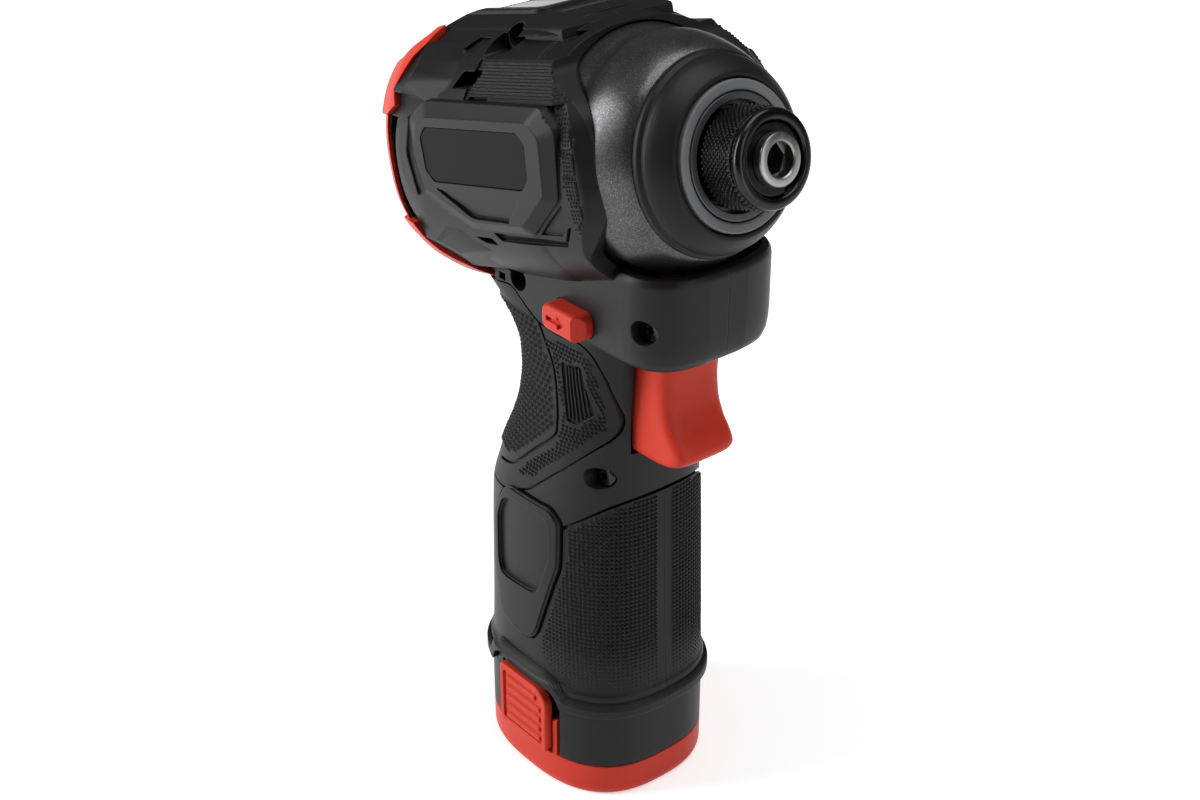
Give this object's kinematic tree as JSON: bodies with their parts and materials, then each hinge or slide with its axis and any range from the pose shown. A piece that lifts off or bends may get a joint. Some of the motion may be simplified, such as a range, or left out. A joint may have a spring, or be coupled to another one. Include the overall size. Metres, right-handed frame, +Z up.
{
  "type": "cordless impact driver",
  "caption": "Compact pistol-grip cordless impact driver with a quick-change hex chuck, ring light, trigger, direction selector and slide-in battery.",
  "frame": {"origin": "middle of the battery's flat foot", "axes": "+X towards the nose, +Y to the tool's left, +Z up the handle"},
  "size_m": [0.1112, 0.0636, 0.1993],
  "materials": {
    "shell": "fine spark-eroded satin, black",
    "soft": "soft overmould, matt black",
    "red": "satin red",
    "case_paint": "dark grey sparkle paint",
    "boot": "matt black",
    "black_oxide": "black oxide",
    "steel": "ground steel",
    "lamp": "frosted lens",
    "nickel": "satin nickel",
    "bronze": "sintered bronze",
    "copper": "enamelled winding wire",
    "iron": "dark steel",
    "board": "solder mask green",
    "plate": "bare black label plate",
    "bare": "satin bare plate",
    "cell": "shrink sleeve",
    "wire": "wire sleeve",
    "dark_plastic": "moulded plastic"
  },
  "bodies": {
    "housing": {"housing_right": "shell", "housing_left": "shell", "grip_upper_right": "soft", "grip_upper_left": "soft", "grip_lower_right": "soft", "grip_lower_left": "soft", "hand_badge": "plate", "rating_plate": "plate", "top_plate": "bare", "rear_bumper": "red", "housing_screw_box": "black_oxide", "housing_screw_grip": "black_oxide", "housing_screw_neck": "black_oxide", "housing_screw_top": "black_oxide", "hammer_case": "case_paint", "nose_boot": "boot", "light_ring": "lamp", "light_board": "board", "lamp_retainer": "nickel", "anvil_bushing": "bronze", "ring_gear": "iron", "gear_cover": "dark_plastic", "front_bearing": "steel", "rear_bearing": "steel", "stator_core": "iron", "stator_windings": "copper", "trigger_spring": "steel", "trigger_switch": "dark_plastic", "control_module": "board", "motor_cable": "wire", "terminal_block": "dark_plastic"},
    "trigger": {"trigger": "red"},
    "selector": {"direction_selector": "red"},
    "camshaft": {"camshaft": "steel", "cam_ball_left": "steel", "cam_ball_right": "steel", "hammer_spring": "steel"},
    "hammer": {"hammer": "iron", "hammer_washer": "steel"},
    "planet_1": {"planet_gear_1": "iron"},
    "planet_2": {"planet_gear_2": "iron"},
    "planet_3": {"planet_gear_3": "iron"},
    "anvil": {"anvil": "steel", "detent_ball_upper": "steel", "detent_ball_lower": "steel", "sleeve_clip": "steel", "sleeve_spring": "steel"},
    "sleeve": {"chuck_sleeve": "black_oxide"},
    "rotor": {"rotor_shaft": "steel", "rotor_core": "iron", "cooling_fan": "dark_plastic"},
    "battery": {"battery_tray": "red", "battery_case": "shell", "battery_cell_1": "cell", "battery_cell_2": "cell", "battery_cell_3": "cell", "battery_cell_4": "cell", "battery_board": "board"},
    "release_right": {"release_button_right": "red"},
    "release_left": {"release_button_left": "red"}
  },
  "joints": [
    {"name": "trigger_slide", "type": "slide", "parent": "housing", "child": "trigger", "axis": [-1, 0, 0], "range_m": [0, 0.0065], "stiffness_N_per_m": 900, "springref_m": -0.003, "deforming": ["trigger_spring"]},
    {"name": "selector_slide", "type": "slide", "parent": "housing", "child": "selector", "axis": [0, 1, 0], "range_m": [0, 0.0042]},
    {"name": "camshaft_spin", "type": "hinge", "parent": "housing", "child": "camshaft", "pos_m": [0.059, 0, 0.18], "axis": [0.9701, 0, 0.2426], "continuous": true},
    {"name": "hammer_slide", "type": "slide", "parent": "camshaft", "child": "hammer", "axis": [-0.9701, 0, -0.2426], "range_m": [0, 0.006], "stiffness_N_per_m": 9000, "springref_m": -0.004, "deforming": ["hammer_spring"]},
    {"name": "planet_1_spin", "type": "hinge", "parent": "camshaft", "child": "planet_1", "pos_m": [-0.00386, 0, 0.17665], "axis": [0.9701, 0, 0.2426], "continuous": true},
    {"name": "planet_2_spin", "type": "hinge", "parent": "camshaft", "child": "planet_2", "pos_m": [0.0005, -0.01039, 0.15919], "axis": [0.9701, 0, 0.2426], "continuous": true},
    {"name": "planet_3_spin", "type": "hinge", "parent": "camshaft", "child": "planet_3", "pos_m": [0.0005, 0.01039, 0.15919], "axis": [0.9701, 0, 0.2426], "continuous": true},
    {"name": "anvil_spin", "type": "hinge", "parent": "housing", "child": "anvil", "pos_m": [0.059, 0, 0.18], "axis": [0.9701, 0, 0.2426], "continuous": true},
    {"name": "sleeve_slide", "type": "slide", "parent": "anvil", "child": "sleeve", "axis": [0.9701, 0, 0.2426], "range_m": [0, 0.0045], "stiffness_N_per_m": 700, "springref_m": -0.004, "deforming": ["sleeve_spring"]},
    {"name": "rotor_spin", "type": "hinge", "parent": "housing", "child": "rotor", "pos_m": [0.059, 0, 0.18], "axis": [0.9701, 0, 0.2426], "continuous": true},
    {"name": "battery_slide", "type": "slide", "parent": "housing", "child": "battery", "axis": [0, 0, -1], "range_m": [0, 0.058]},
    {"name": "release_right_press", "type": "slide", "parent": "battery", "child": "release_right", "axis": [0, 1, 0], "range_m": [0, 0.0015], "stiffness_N_per_m": 1500, "springref_m": -0.002},
    {"name": "release_left_press", "type": "slide", "parent": "battery", "child": "release_left", "axis": [0, -1, 0], "range_m": [0, 0.0015], "stiffness_N_per_m": 1500, "springref_m": -0.002}
  ],
  "couplings": [
    {"joint": "anvil_spin", "follows": "camshaft_spin", "ratio": 1},
    {"joint": "rotor_spin", "follows": "camshaft_spin", "ratio": 6},
    {"joint": "planet_1_spin", "follows": "camshaft_spin", "ratio": -2.5},
    {"joint": "planet_2_spin", "follows": "camshaft_spin", "ratio": -2.5},
    {"joint": "planet_3_spin", "follows": "camshaft_spin", "ratio": -2.5}
  ]
}
